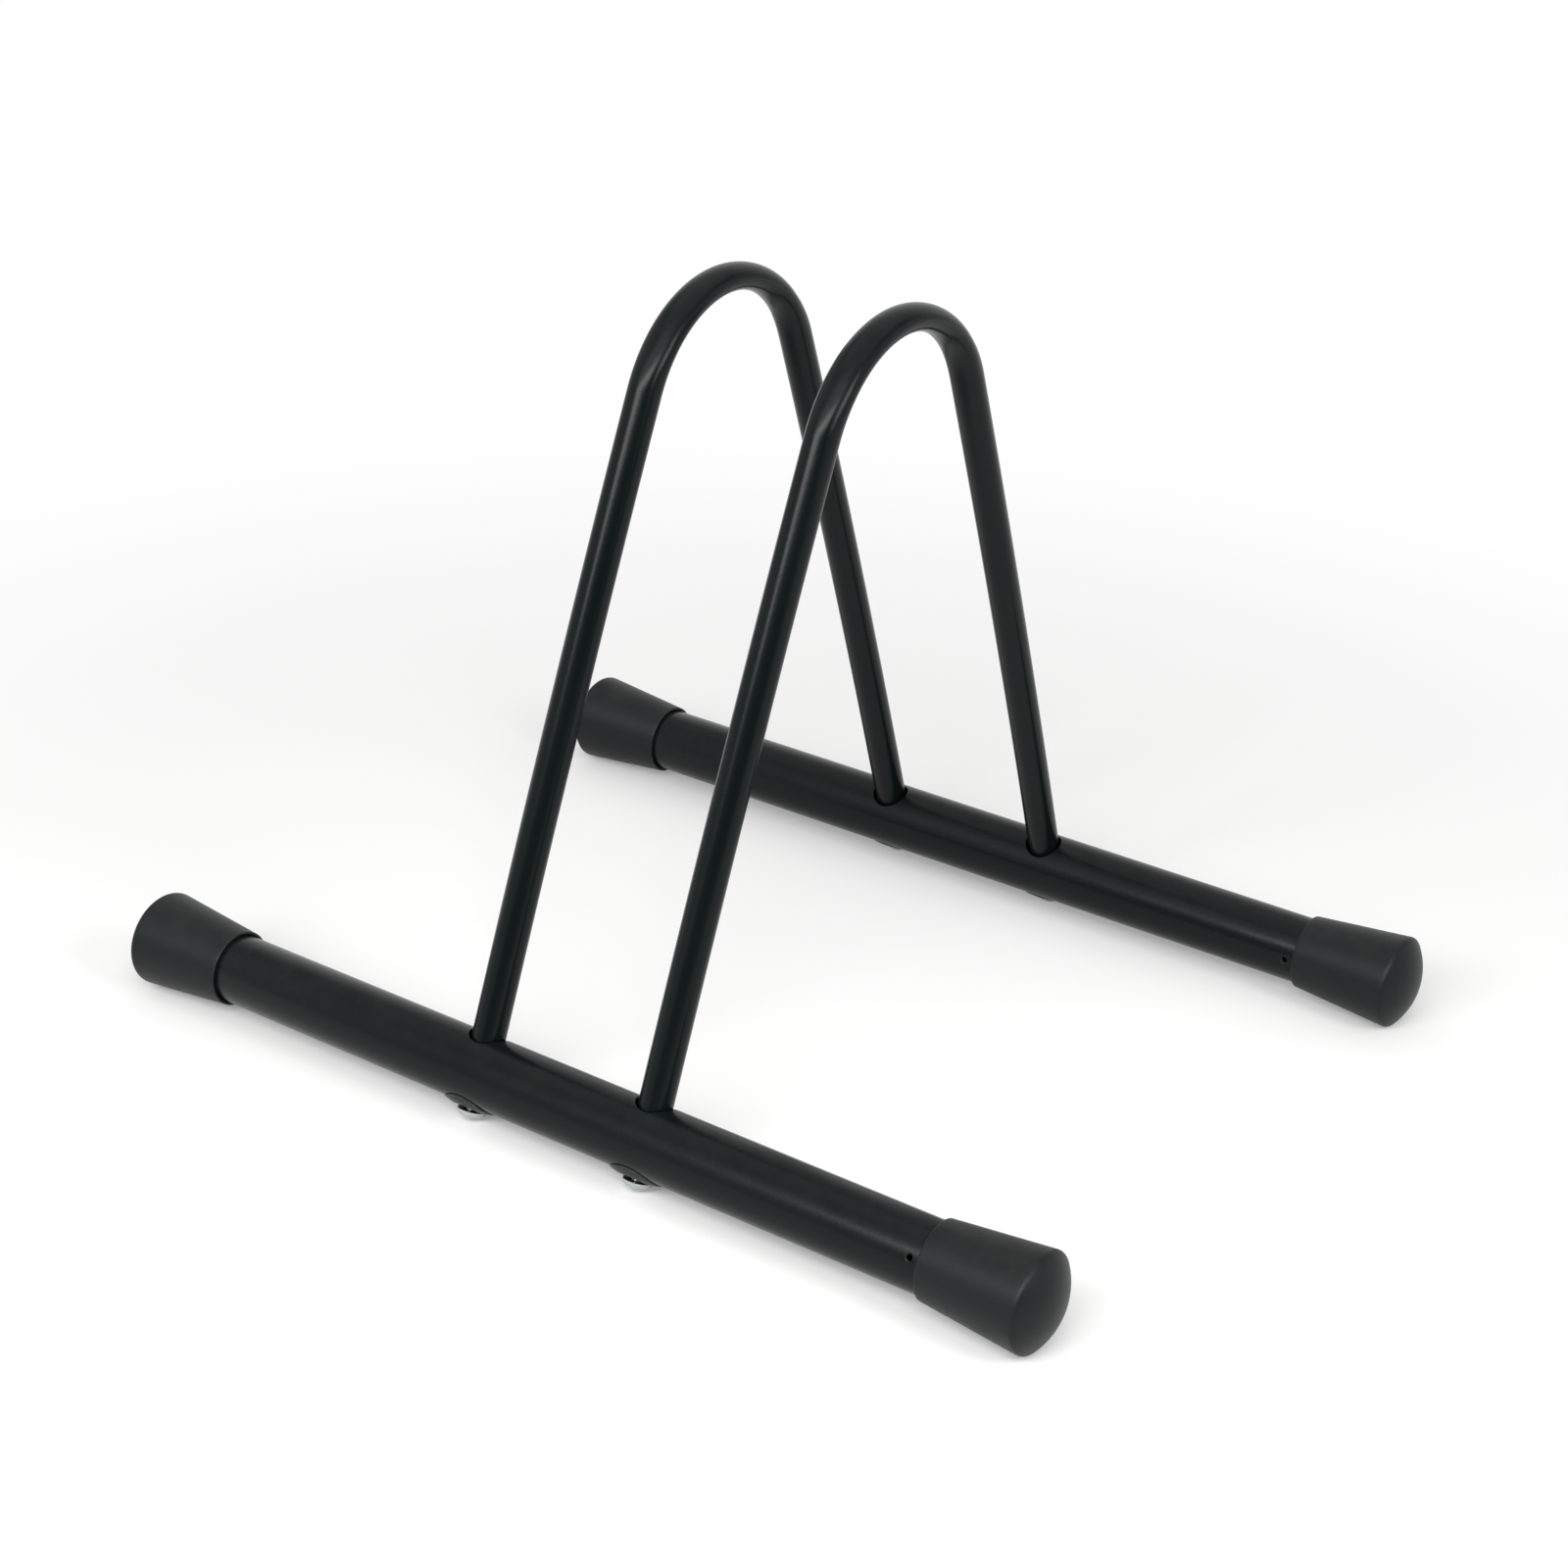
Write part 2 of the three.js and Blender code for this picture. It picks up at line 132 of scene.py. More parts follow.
def wrap_skin(bm, radius, leg_turn, vent_turn):
    """The whole skin of a base tube at the given radius, along X at the origin."""
    step = 2 * pi / RING_SIDES
    vent_ring = leg_turn + step * round((vent_turn - leg_turn) / step)
    for x in (-HOOP_X, HOOP_X):
        for turn, hole in ((leg_turn, LEG_HOLE), (leg_turn + pi, SCREW_HOLE)):
            wrap_patch(bm, radius, x, turn, turn, hole, FOOT_REACH)
    wrap_patch(bm, radius, VENT_X, vent_ring, vent_turn, VENT_HOLE, VENT_REACH)
    wrap_plain_half(bm, radius, VENT_X, vent_ring + pi, VENT_REACH)
    bmesh.ops.remove_doubles(bm, verts=bm.verts, dist=SAME_POINT)
    for start, end in ((-HOOP_X - FOOT_REACH, -TUBE_HALF_LENGTH),
                       (FOOT_REACH - HOOP_X, HOOP_X - FOOT_REACH),
                       (HOOP_X + FOOT_REACH, VENT_X - VENT_REACH),
                       (VENT_X + VENT_REACH, TUBE_HALF_LENGTH)):
        ring = [e for e in bm.edges if e.is_boundary and all(
            abs(v.co.x - start) < IN_PLACE and abs(hypot(v.co.y, v.co.z) - radius) < IN_PLACE
            for v in e.verts)]
        grow_edges(bm, ring, lambda co: Vector((end, co.y, co.z)))
    bmesh.ops.remove_doubles(bm, verts=bm.verts, dist=SAME_POINT)


def sink_rim(bm, drilling):
    """Carries the outer skin's open edges at a drilling or an end through the wall. A drilling is
    its place along the tube, its turn and its radius, and a tube's end has no radius."""
    x, turn, hole = drilling
    bore = TUBE_RADIUS - TUBE_WALL
    along = turned_up(1, turn)

    def here(co):
        if hypot(co.y, co.z) < TUBE_RADIUS - TUBE_WALL / 2:
            return False
        return abs(co.x - x) < (hole or 0) + IN_PLACE and (not hole or co.dot(along) > 0)

    def through(co):
        if not hole:
            return Vector((co.x, co.y * bore / TUBE_RADIUS, co.z * bore / TUBE_RADIUS))
        aside = co - along * co.dot(along) - Vector((co.x, 0, 0))
        return Vector((co.x, 0, 0)) + aside + along * sqrt(bore ** 2 - aside.length_squared)

    rim = [e for e in bm.edges if e.is_boundary and all(here(v.co) for v in e.verts)]
    grow_edges(bm, rim, through)


def round_edges(bm, width, segments, sharper_than=radians(40)):
    """Rounds every edge that turns by more than the given angle."""
    edges = [e for e in bm.edges if e.is_manifold and e.calc_face_angle() > sharper_than]
    bmesh.ops.bevel(bm, geom=edges, offset=width, offset_type="OFFSET", segments=segments,
                    profile=0.5, affect="EDGES", material=-1, clamp_overlap=True)


def finish_piece(bm, name, finish, node):
    """Makes the finished piece that stands for a node of the frame. Each vertex keeps how far it
    is on a worn corner, from 0 to 1, for the finish to read."""
    if bm.calc_volume(signed=True) < 0:
        bmesh.ops.reverse_faces(bm, faces=bm.faces)
    corner = bm.verts.layers.float.new("corner")
    bm.normal_update()
    for v in bm.verts:
        turns = [e.calc_face_angle() for e in v.link_edges if e.is_manifold and e.is_convex]
        v[corner] = min(1, max(0, (max(turns, default=0) - WORN_FROM) / WORN_OVER))
    for face in bm.faces:
        face.smooth = True
    for edge in bm.edges:
        edge.smooth = not edge.is_manifold or edge.calc_face_angle() < SHADED_ROUND
    mesh = bpy.data.meshes.new(name)
    bm.to_mesh(mesh)
    bm.free()
    mesh.materials.append(finish)
    piece = bpy.data.objects.new(name, mesh)
    bpy.context.scene.collection.objects.link(piece)
    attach(piece, "root")
    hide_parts(node)


def new_group(name, inputs, outputs):
    """A shader node group. Each input has a name and a value, which is None for a vector."""
    group = bpy.data.node_groups.new(name, "ShaderNodeTree")
    for socket, value in inputs.items():
        kind = "NodeSocketVector" if value is None else "NodeSocketFloat"
        made = group.interface.new_socket(name=socket, in_out="INPUT", socket_type=kind)
        if value is not None:
            made.default_value = value
    for socket in outputs:
        group.interface.new_socket(name=socket, in_out="OUTPUT", socket_type="NodeSocketFloat")
    return group, group.nodes.new("NodeGroupInput"), group.nodes.new("NodeGroupOutput")


def math_node(tree, operation, *values):
    """A Math node. Each value is a number, or a socket to link."""
    node = tree.nodes.new("ShaderNodeMath")
    node.operation = operation
    for socket, value in zip(node.inputs, values):
        if isinstance(value, bpy.types.NodeSocket):
            tree.links.new(value, socket)
        else:
            socket.default_value = value
    return node.outputs["Value"]


def spread(tree, value, low, high):
    """A value from 0 to 1 spread over low to high."""
    node = tree.nodes.new("ShaderNodeMapRange")
    tree.links.new(value, node.inputs["Value"])
    node.inputs["To Min"].default_value = low
    node.inputs["To Max"].default_value = high
    return node.outputs["Result"]


def noise(tree, vector, scale, detail, roughness=0.5):
    """Noise from 0 to 1, with that many swells to a metre."""
    node = tree.nodes.new("ShaderNodeTexNoise")
    tree.links.new(vector, node.inputs["Vector"])
    if isinstance(scale, bpy.types.NodeSocket):
        tree.links.new(scale, node.inputs["Scale"])
    else:
        node.inputs["Scale"].default_value = scale
    node.inputs["Detail"].default_value = detail
    node.inputs["Roughness"].default_value = roughness
    return node.outputs["Fac"]


def make_skin_grain():
    """The grain of a coated, moulded or plated skin. Height is its relief, of swells with finer
    specks on them, and Mottle a slow drift in its colour and gloss."""
    speck_share, drift_scale = 0.4, 0.03
    group, given, result = new_group(
        "skin_grain", {"Vector": None, "Grains per metre": 900, "Fineness": 2},
        ["Height", "Mottle"])
    swell = noise(group, given.outputs["Vector"], given.outputs["Grains per metre"], detail=1)
    finer = math_node(group, "MULTIPLY", given.outputs["Grains per metre"],
                      given.outputs["Fineness"])
    speck = noise(group, given.outputs["Vector"], finer, detail=2)
    both = math_node(group, "ADD", swell, math_node(group, "MULTIPLY", speck, speck_share))
    group.links.new(both, result.inputs["Height"])
    slow = math_node(group, "MULTIPLY", given.outputs["Grains per metre"], drift_scale)
    drift = noise(group, given.outputs["Vector"], slow, detail=3)
    group.links.new(drift, result.inputs["Mottle"])
    return group


def make_corner_rub():
    """Corners rubbed in handling, broken up so that the rub comes and goes."""
    patches_per_metre, contrast, offset = 260, 2.4, -0.6
    group, given, result = new_group(
        "corner_rub", {"Vector": None, "Corner": 0, "Amount": 0.5}, ["Rub"])
    patches = noise(group, given.outputs["Vector"], patches_per_metre, detail=3, roughness=0.6)
    broken = math_node(group, "MULTIPLY_ADD", patches, contrast, offset)
    rub = math_node(group, "MULTIPLY", given.outputs["Corner"], broken)
    kept = math_node(group, "MULTIPLY", rub, given.outputs["Amount"])
    clamped = math_node(group, "MAXIMUM", math_node(group, "MINIMUM", kept, 1), 0)
    group.links.new(clamped, result.inputs["Rub"])
    return group


def make_settled_dust():
    """A light fall of dust on what faces up."""
    least_up, clumps_per_metre, contrast, offset = 0.35, 95, 2.2, -0.7
    group, given, result = new_group("settled_dust", {"Vector": None, "Amount": 0.1}, ["Dust"])
    facing = group.nodes.new("ShaderNodeNewGeometry")
    split = group.nodes.new("ShaderNodeSeparateXYZ")
    group.links.new(facing.outputs["Normal"], split.inputs["Vector"])
    raised = math_node(group, "SUBTRACT", split.outputs["Z"], least_up)
    up = math_node(group, "MAXIMUM", raised, 0)
    fall = noise(group, given.outputs["Vector"], clumps_per_metre, detail=5, roughness=0.65)
    clumped = math_node(group, "MULTIPLY_ADD", fall, contrast, offset)
    thin = math_node(group, "MAXIMUM", clumped, 0)
    dust = math_node(group, "MULTIPLY", math_node(group, "MULTIPLY", up, thin),
                     given.outputs["Amount"])
    group.links.new(dust, result.inputs["Dust"])
    return group


SKIN_GRAIN = make_skin_grain()
CORNER_RUB = make_corner_rub()
SETTLED_DUST = make_settled_dust()


def place_group(tree, group, **values):
    """A node group in a material, with its own values."""
    node = tree.nodes.new("ShaderNodeGroup")
    node.node_tree = group
    for name, value in values.items():
        socket = node.inputs[name.replace("_", " ")]
        if isinstance(value, bpy.types.NodeSocket):
            tree.links.new(value, socket)
        else:
            socket.default_value = value
    return node.outputs


def new_finish(name):
    """A material with its tree, its shader, and where on the piece a point is."""
    finish = bpy.data.materials.new(name)
    finish.use_nodes = True
    tree = finish.node_tree
    place = tree.nodes.new("ShaderNodeTexCoord").outputs["Object"]
    corner = tree.nodes.new("ShaderNodeAttribute")
    corner.attribute_name = "corner"
    return finish, tree, tree.nodes["Principled BSDF"], place, corner.outputs["Fac"]


def blend_colours(tree, share, first, second):
    """The first colour, going over to the second by share. A colour is a socket or three
    numbers."""
    node = tree.nodes.new("ShaderNodeMix")
    node.data_type = "RGBA"
    tree.links.new(share, node.inputs["Factor"])
    for socket, colour in ((node.inputs[6], first), (node.inputs[7], second)):
        if isinstance(colour, bpy.types.NodeSocket):
            tree.links.new(colour, socket)
        else:
            socket.default_value = (*colour, 1)
    return node.outputs[2]


def raise_skin(tree, shader, height, depth, strength):
    """Feeds a relief of that depth in metres to the shader's Normal."""
    bump = tree.nodes.new("ShaderNodeBump")
    bump.inputs["Strength"].default_value = strength
    bump.inputs["Distance"].default_value = depth
    tree.links.new(height, bump.inputs["Height"])
    tree.links.new(bump.outputs["Normal"], shader.inputs["Normal"])


def bare_wall(bm, x, turn, hole):
    """Marks the wall of one drilling for the finish to leave bare."""
    bare = bm.verts.layers.float.new("bare")
    along = turned_up(1, turn)
    for v in bm.verts:
        aside = v.co - along * v.co.dot(along) - Vector((x, 0, 0))
        if aside.length < hole + 2 * IN_PLACE and v.co.dot(along) > 0:
            v[bare] = 1


def make_powder_coat():
    """Satin black polyester powder, melted to a skin with a shallow orange peel."""
    finish, tree, shader, place, corner = new_finish("powder_coat_black")
    grain = place_group(tree, SKIN_GRAIN, Vector=place, Grains_per_metre=520, Fineness=3.4)
    rub = place_group(tree, CORNER_RUB, Vector=place, Corner=corner, Amount=0.35)["Rub"]
    dust = place_group(tree, SETTLED_DUST, Vector=place, Amount=0.03)["Dust"]
    coat = blend_colours(tree, grain["Mottle"], COAT_DARKER, COAT_PALER)
    rubbed = blend_colours(tree, rub, coat, COAT_RUBBED)
    dusty = blend_colours(tree, dust, rubbed, DUST_COLOUR)
    bare = tree.nodes.new("ShaderNodeAttribute")
    bare.attribute_name = "bare"
    drilled = blend_colours(tree, bare.outputs["Fac"], dusty, BARE_STEEL)
    tree.links.new(drilled, shader.inputs["Base Color"])
    tree.links.new(bare.outputs["Fac"], shader.inputs["Metallic"])
    gloss = spread(tree, grain["Mottle"], *COAT_ROUGHNESS)
    duller = math_node(tree, "MULTIPLY_ADD", bare.outputs["Fac"], BARE_ROUGHER, gloss)
    dullest = math_node(tree, "MULTIPLY_ADD", dust, DUSTY_ROUGHER, duller)
    tree.links.new(dullest, shader.inputs["Roughness"])
    shader.inputs["Specular IOR Level"].default_value = 0.17
    raise_skin(tree, shader, grain["Height"], ORANGE_PEEL, strength=0.6)
    return finish


POWDER_COAT = make_powder_coat()

for end, side in (("front", -1), ("rear", 1)):
    tube = bmesh.new()
    leg_turn = side * FOOT_TILT
    for radius in (TUBE_RADIUS, TUBE_RADIUS - TUBE_WALL):
        wrap_skin(tube, radius, leg_turn, VENT_TURNS[end])
    vent = (VENT_X, VENT_TURNS[end], VENT_HOLE)
    drillings = [vent]
    for x in (-HOOP_X, HOOP_X):
        drillings += [(x, leg_turn, LEG_HOLE), (x, leg_turn + pi, SCREW_HOLE)]
    for drilling in drillings + [(-TUBE_HALF_LENGTH, 0, None), (TUBE_HALF_LENGTH, 0, None)]:
        sink_rim(tube, drilling)
    bmesh.ops.remove_doubles(tube, verts=tube.verts, dist=SAME_POINT)
    bmesh.ops.recalc_face_normals(tube, faces=tube.faces)
    round_edges(tube, RIM_ROUNDING, segments=3)
    bare_wall(tube, *vent)
    bmesh.ops.translate(tube, verts=tube.verts, vec=(0, side * HALF_SPACING, AXIS_HEIGHT))
    finish_piece(tube, f"base_tube_{end}_drilled", POWDER_COAT, f"base_tube_{end}")

# ------------------------------------------------------------------------------- hoops
# Two round steel tubes, 12 mm across, each cold bent to an upturned V with a round crown and
# powder coated as the base tubes are. The bender presses the tube flatter and wider through the
# bend. The legs are cut square and end just inside the base tubes.

HOOP_RADIUS = 6 * MM
HOOP_WALL = 1 * MM
HOOP_RISE = 252.7 * MM          # base tube's axis to the middle of the tube at the crown
BEND_RADIUS = 47.7 * MM
LEG_BOW_RADIUS = 5670 * MM      # the legs are very slightly bowed
LEG_END_DROP = 9.457 * MM       # below the base tube's axis, along the leg
CROWN_DEPTH = 9.6 / 12          # of the pressed tube, as a share of its diameter
CROWN_WIDTH = 13 / 12
PRESS_RUN_IN = radians(21.5)
HOOP_SIDES = 56
BEND_STEPS = 40
LEG_STEPS = 16

# A leg's shallow arc runs on from the crown's arc without a kink, so the two centres and the
# point where the arcs meet lie on one line, top_tilt below level. The leg's arc ends at the foot.
bend_height = HOOP_RISE - BEND_RADIUS
arc_step = LEG_BOW_RADIUS - BEND_RADIUS
bend_to_foot = hypot(HALF_SPACING, bend_height)
reach_turn = acos((LEG_BOW_RADIUS ** 2 - bend_to_foot ** 2 - arc_step ** 2)
                  / (2 * arc_step * bend_to_foot))
top_tilt = reach_turn - atan2(bend_height, HALF_SPACING)
bow_centre = Vector((0, arc_step * cos(top_tilt), bend_height - arc_step * sin(top_tilt)))
foot_tilt = atan2(-bow_centre.z, HALF_SPACING + bow_centre.y)


def sweep(bm, edges, centre, angle, steps):
    """Spins open edges about a centre in the hoop's plane, and returns the last ones."""
    ends = list(dict.fromkeys(v for e in edges for v in e.verts))
    spun = bmesh.ops.spin(bm, geom=ends + edges, cent=centre, axis=(1, 0, 0), angle=angle,
                          steps=steps)
    return [e for e in spun["geom_last"] if isinstance(e, bmesh.types.BMEdge)]


def press_bend(co):
    """Presses the round tube flatter through the bend, from nothing where the bend starts."""
    rise = co.z - bend_height
    turn = min(1, max(0, (atan2(rise, abs(co.y)) - top_tilt) / PRESS_RUN_IN))
    press = turn * turn * (3 - 2 * turn)
    distance = hypot(co.y, rise)
    depth = 1 + (CROWN_DEPTH - 1) * press
    width = 1 + (CROWN_WIDTH - 1) * press
    scale = (BEND_RADIUS + (distance - BEND_RADIUS) * depth) / distance
    return Vector((co.x * width, co.y * scale, bend_height + rise * scale))


for place, x in (("left", -HOOP_X), ("right", HOOP_X)):
    hoop = bmesh.new()
    crown = Matrix.Translation((0, 0, HOOP_RISE)) @ Matrix.Rotation(pi / 2, 4, "X")
    bmesh.ops.create_circle(hoop, segments=HOOP_SIDES, radius=HOOP_RADIUS, matrix=crown)
    section = sweep(hoop, hoop.edges[:], (0, 0, bend_height), pi / 2 - top_tilt, BEND_STEPS)
    section = sweep(hoop, section, bow_centre, top_tilt - foot_tilt, LEG_STEPS)
    cut_end = bmesh.ops.extrude_edge_only(hoop, edges=section)
    cut_verts = [v for v in cut_end["geom"] if isinstance(v, bmesh.types.BMVert)]
    down_leg = Vector((0, -sin(foot_tilt), -cos(foot_tilt)))
    bmesh.ops.translate(hoop, verts=cut_verts, vec=down_leg * LEG_END_DROP)
    bmesh.ops.mirror(hoop, geom=hoop.verts[:] + hoop.edges[:] + hoop.faces[:], axis="Y",
                     merge_dist=IN_PLACE)
    bmesh.ops.remove_doubles(hoop, verts=hoop.verts, dist=SAME_POINT)
    for v in hoop.verts:
        v.co = press_bend(v.co)
    bmesh.ops.recalc_face_normals(hoop, faces=hoop.faces)
    bmesh.ops.solidify(hoop, geom=hoop.faces[:], thickness=HOOP_WALL)
    round_edges(hoop, RIM_ROUNDING, segments=2)
    bmesh.ops.translate(hoop, verts=hoop.verts, vec=(x, 0, AXIS_HEIGHT))
    finish_piece(hoop, f"hoop_{place}_bent", POWDER_COAT, f"hoop_{place}")

# ------------------------------------------------------------------------------- ferrules
# Four cups of black rubber, compression moulded, pushed over the ends of the base tubes. Each
# flares from a thin mouth to a widest ring and closes in a shallow dome, and is flat where it
# bears on the floor.

FERRULE_LENGTH = 44.5 * MM
FERRULE_BORE = 13.0 * MM        # radii
FERRULE_MOUTH = 14.0 * MM
FERRULE_BASE = 17.5 * MM
CORNER_RADIUS = 2 * MM
END_LENGTH = 7.4 * MM           # widest ring to the top of the dome
BORE_DEPTH = 36.8 * MM
MOUTH_X = 150.5 * MM
LIP_ROUNDING = 0.3 * MM
LIP_DEPTH = 1 * MM
WALL_RINGS = (0.05, 0.3, 0.6, 0.9, 0.97)    # shares of the way from the widest ring to the lip
DOME_STEPS = 14
CORNER_STEPS = 8
FERRULE_SIDES = 96
RUBBER_DARKER = (0.0040, 0.0070, 0.0068)
RUBBER_PALER = (0.0064, 0.0094, 0.0092)
RUBBER_RUBBED = (0.036, 0.038, 0.038)
RUBBER_ROUGHNESS = (0.38, 0.47)
RUBBED_SMOOTHER = 0.15


def make_moulded_rubber():
    """Black rubber from a blasted mould, dry and matte, and smoother where it is rubbed."""
    finish, tree, shader, place, corner = new_finish("ferrule_rubber_black")
    grain = place_group(tree, SKIN_GRAIN, Vector=place, Grains_per_metre=2600, Fineness=2.2)
    rub = place_group(tree, CORNER_RUB, Vector=place, Corner=corner, Amount=0.5)["Rub"]
    dust = place_group(tree, SETTLED_DUST, Vector=place, Amount=0.06)["Dust"]
    rubber = blend_colours(tree, grain["Mottle"], RUBBER_DARKER, RUBBER_PALER)
    rubbed = blend_colours(tree, rub, rubber, RUBBER_RUBBED)
    dusty = blend_colours(tree, dust, rubbed, DUST_COLOUR)
    tree.links.new(dusty, shader.inputs["Base Color"])
    matte = spread(tree, grain["Mottle"], *RUBBER_ROUGHNESS)
    smoother = math_node(tree, "MULTIPLY", rub, RUBBED_SMOOTHER)
    tree.links.new(math_node(tree, "SUBTRACT", matte, smoother), shader.inputs["Roughness"])
    shader.inputs["Specular IOR Level"].default_value = 0.22
    raise_skin(tree, shader, grain["Height"], depth=0.05 * MM, strength=0.6)
    return finish


def arc_from(bm, vert, centre, angle, steps):
    """Draws an arc on from a vert of the profile, about a centre (along, out), and returns its
    end."""
    spun = bmesh.ops.spin(bm, geom=[vert], cent=(centre[0], 0, centre[1]), axis=(0, 1, 0),
                          angle=angle, steps=steps)
    return next(v for v in spun["geom_last"] if isinstance(v, bmesh.types.BMVert))


def line_to(bm, vert, along, out):
    """Draws a straight line on from a vert of the profile, and returns its end."""
    end = bm.verts.new((along, 0, out))
    bm.edges.new((vert, end))
    return end


def turn_on_axis(bm, sides):
    """Turns a profile in the XZ plane right round the X axis to a closed skin."""
    bmesh.ops.spin(bm, geom=bm.verts[:] + bm.edges[:], cent=(0, 0, 0), axis=(1, 0, 0),
                   angle=2 * pi, steps=sides, use_merge=True)
    bmesh.ops.remove_doubles(bm, verts=bm.verts, dist=SAME_POINT)
    bmesh.ops.recalc_face_normals(bm, faces=bm.faces)


FERRULE_RUBBER = make_moulded_rubber()

# The profile's corner is an arc that the flared wall leaves without a kink. The dome's arc is
# tangent to it too, and has its centre on the axis.
corner_out = FERRULE_BASE - CORNER_RADIUS
corner_along = FERRULE_LENGTH - END_LENGTH
flare = (atan2(corner_out - FERRULE_MOUTH, corner_along)
         + asin(CORNER_RADIUS / hypot(corner_out - FERRULE_MOUTH, corner_along)))
dome_radius = ((corner_out ** 2 + END_LENGTH ** 2 - CORNER_RADIUS ** 2)
               / (2 * (END_LENGTH - CORNER_RADIUS)))
dome_centre = FERRULE_LENGTH - dome_radius
dome_turn = atan2(corner_out, corner_along - dome_centre)

for end, side in (("front", -1), ("rear", 1)):
    for place, x_side in (("left", -1), ("right", 1)):
        cup = bmesh.new()
        tip = cup.verts.new((FERRULE_LENGTH, 0, 0))
        ring = arc_from(cup, tip, (dome_centre, 0), -dome_turn, DOME_STEPS)
        ring = arc_from(cup, ring, (corner_along, corner_out), dome_turn - pi / 2 - flare,
                        CORNER_STEPS)
        wall_start = ring.co.copy()
        lip = Vector((0, 0, FERRULE_MOUTH))
        for share in WALL_RINGS:
            point = wall_start.lerp(lip, share)
            ring = line_to(cup, ring, point.x, point.z)
        lips = [line_to(cup, ring, 0, FERRULE_MOUTH)]
        lips.append(line_to(cup, lips[0], 0, FERRULE_BORE))
        bore = line_to(cup, lips[1], LIP_DEPTH, FERRULE_BORE)
        bore = line_to(cup, bore, BORE_DEPTH, FERRULE_BORE)
        line_to(cup, bore, BORE_DEPTH, 0)
        bmesh.ops.bevel(cup, geom=lips, offset=LIP_ROUNDING, offset_type="OFFSET", segments=4,
                        profile=0.5, affect="VERTICES", material=-1)
        turn_on_axis(cup, FERRULE_SIDES)
        if x_side < 0:
            bmesh.ops.rotate(cup, verts=cup.verts, cent=(0, 0, 0),
                             matrix=Matrix.Rotation(pi, 3, "Z"))
        bmesh.ops.translate(cup, verts=cup.verts,
                            vec=(x_side * MOUTH_X, side * HALF_SPACING, AXIS_HEIGHT))
        bmesh.ops.bisect_plane(
            cup, geom=cup.verts[:] + cup.edges[:] + cup.faces[:], dist=0.1 * SAME_POINT,
            plane_co=(0, 0, 0), plane_no=(0, 0, -1), clear_outer=True)
        bmesh.ops.holes_fill(cup, edges=[e for e in cup.edges if e.is_boundary])
        bmesh.ops.recalc_face_normals(cup, faces=cup.faces)
        name = f"ferrule_{end}_{place}"
        finish_piece(cup, f"{name}_moulded", FERRULE_RUBBER, name)

# ------------------------------------------------------------------------------- screws
# Four M6 button-head screws of zinc-plated steel, rolled and headed cold, with a hexagon socket.
# Each comes up from below through its washer and the base tube, and bites in the leg's insert.

SCREW_LENGTH = 16 * MM          # under the head
SCREW_HEAD_DROP = 14.3 * MM     # from the base tube's axis to the underside of the head
SCREW_CREST = 3.0 * MM          # radii of the thread
SCREW_ROOT = 2.5 * MM
THREAD_PITCH = 1 * MM
THREAD_FLAT = 0.06 * MM         # half of a crest's width
THREAD_FLANK = 0.5 * MM         # from the middle of a crest to the root, along the axis
SCREW_POINT = 2.2 * MM
POINT_CHAMFER = 0.3 * MM
NECK = 0.2 * MM                 # where the thread runs out under the head
HEAD_RADIUS = 5.25 * MM
HEAD_TOP_RADIUS = 2.8 * MM
HEAD_HEIGHT = 2.5 * MM
HEAD_EDGE = 0.4 * MM
HEAD_CHAMFER = 0.12 * MM
HEAD_DOME_STEPS = 10
SOCKET_CORNER = 2.309 * MM      # 4 mm across flats
SOCKET_DEPTH = 1.7 * MM
SOCKET_CONE = 0.3 * MM          # the punch's mark in its floor
SOCKET_ROUNDING = 0.12 * MM
SOCKET_SIDE_CUTS = 7
SCREW_SIDES = 6 * (SOCKET_SIDE_CUTS + 1)
ZINC_BLUER = (0.46, 0.52, 0.53)
ZINC_PALER = (0.60, 0.62, 0.59)
ZINC_RUBBED = (0.74, 0.75, 0.74)
ZINC_ROUGHNESS = (0.20, 0.34)
METAL_GRAIN = 0.012 * MM        # depth of the relief that its making leaves


def make_zinc_plate():
    """Bright zinc over cold-headed steel, with the faint blue cast of its passivation."""
    finish, tree, shader, place, corner = new_finish("zinc_plate_bright")
    grain = place_group(tree, SKIN_GRAIN, Vector=place, Grains_per_metre=4200, Fineness=2.5)
    rub = place_group(tree, CORNER_RUB, Vector=place, Corner=corner, Amount=0.8)["Rub"]
    zinc = blend_colours(tree, grain["Mottle"], ZINC_BLUER, ZINC_PALER)
    rubbed = blend_colours(tree, rub, zinc, ZINC_RUBBED)
    tree.links.new(rubbed, shader.inputs["Base Color"])
    tree.links.new(spread(tree, grain["Mottle"], *ZINC_ROUGHNESS), shader.inputs["Roughness"])
    shader.inputs["Metallic"].default_value = 1
    raise_skin(tree, shader, grain["Height"], METAL_GRAIN, strength=0.5)
    return finish


def stand_in_foot(bm, side, x):
    """Moves a piece from its foot's own frame, with Z up the leg and the origin on the base
    tube's axis, to its place in the rack."""
    bmesh.ops.rotate(bm, verts=bm.verts, cent=(0, 0, 0),
                     matrix=Matrix.Rotation(side * FOOT_TILT, 3, "X"))
    bmesh.ops.translate(bm, verts=bm.verts, vec=(x, side * HALF_SPACING, AXIS_HEIGHT))


def lay_up_leg(bm, height):
    """Turns a piece made along X to lie up the leg, with its origin at that height."""
    bmesh.ops.rotate(bm, verts=bm.verts, cent=(0, 0, 0), matrix=Matrix.Rotation(-pi / 2, 3, "Y"))
    bmesh.ops.translate(bm, verts=bm.verts, vec=(0, 0, height))


FEET = [(end, side, place, x) for end, side in (("front", -1), ("rear", 1))
        for place, x in (("left", -HOOP_X), ("right", HOOP_X))]
ZINC_PLATE = make_zinc_plate()

